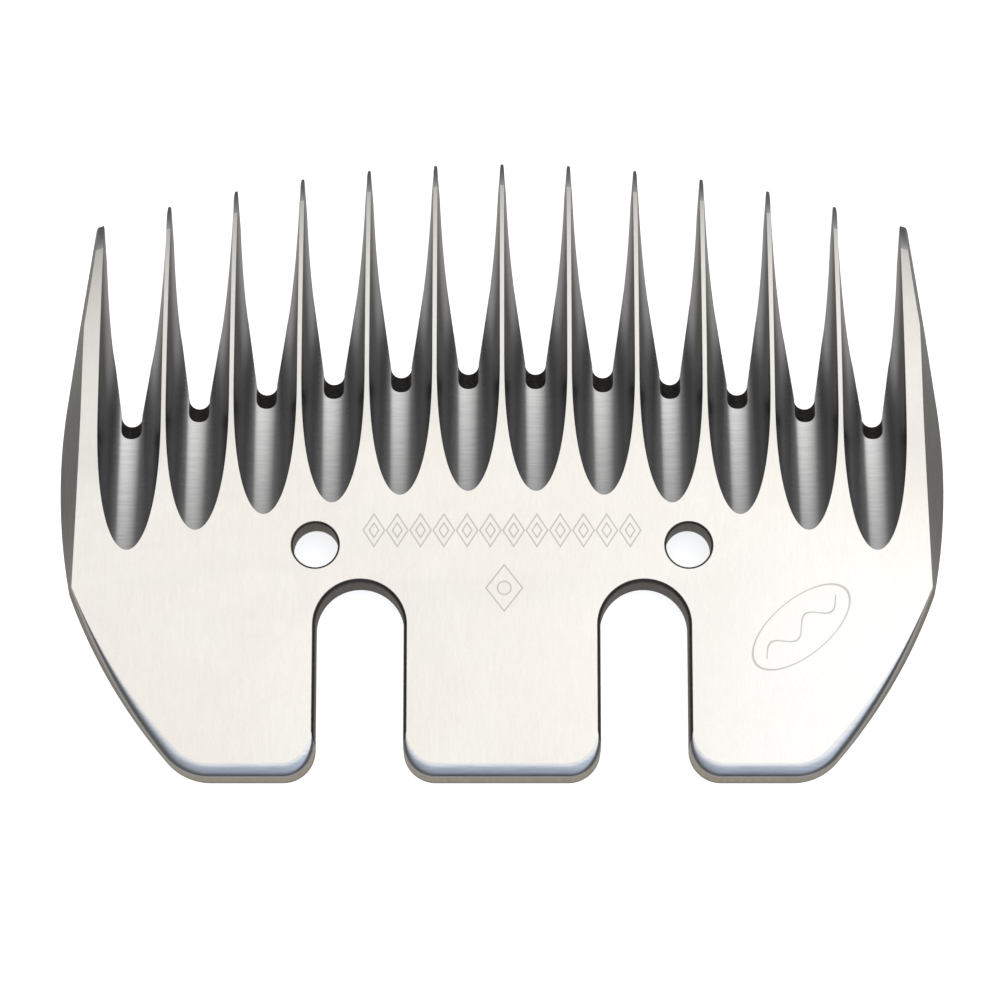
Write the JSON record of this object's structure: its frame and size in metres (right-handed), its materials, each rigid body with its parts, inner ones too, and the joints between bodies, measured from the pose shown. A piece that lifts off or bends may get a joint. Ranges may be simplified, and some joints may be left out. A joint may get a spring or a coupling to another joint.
{
  "type": "shearing comb",
  "caption": "Flat steel shearing comb: a row of long pointed teeth with ground scallops between them, open screw slots and round pin holes at the butt end.",
  "frame": {"origin": "on the cutter face, midway between the round ends of the two screw slots", "axes": "+X across the comb, +Y along the teeth towards their tips, +Z out of the scalloped skin side"},
  "size_m": [0.0832, 0.06, 0.0035],
  "materials": {
    "ground_steel": "satin surface-ground hardened steel with darker hollow-ground scallops"
  },
  "bodies": {
    "root": {"comb": "ground_steel"}
  },
  "joints": []
}
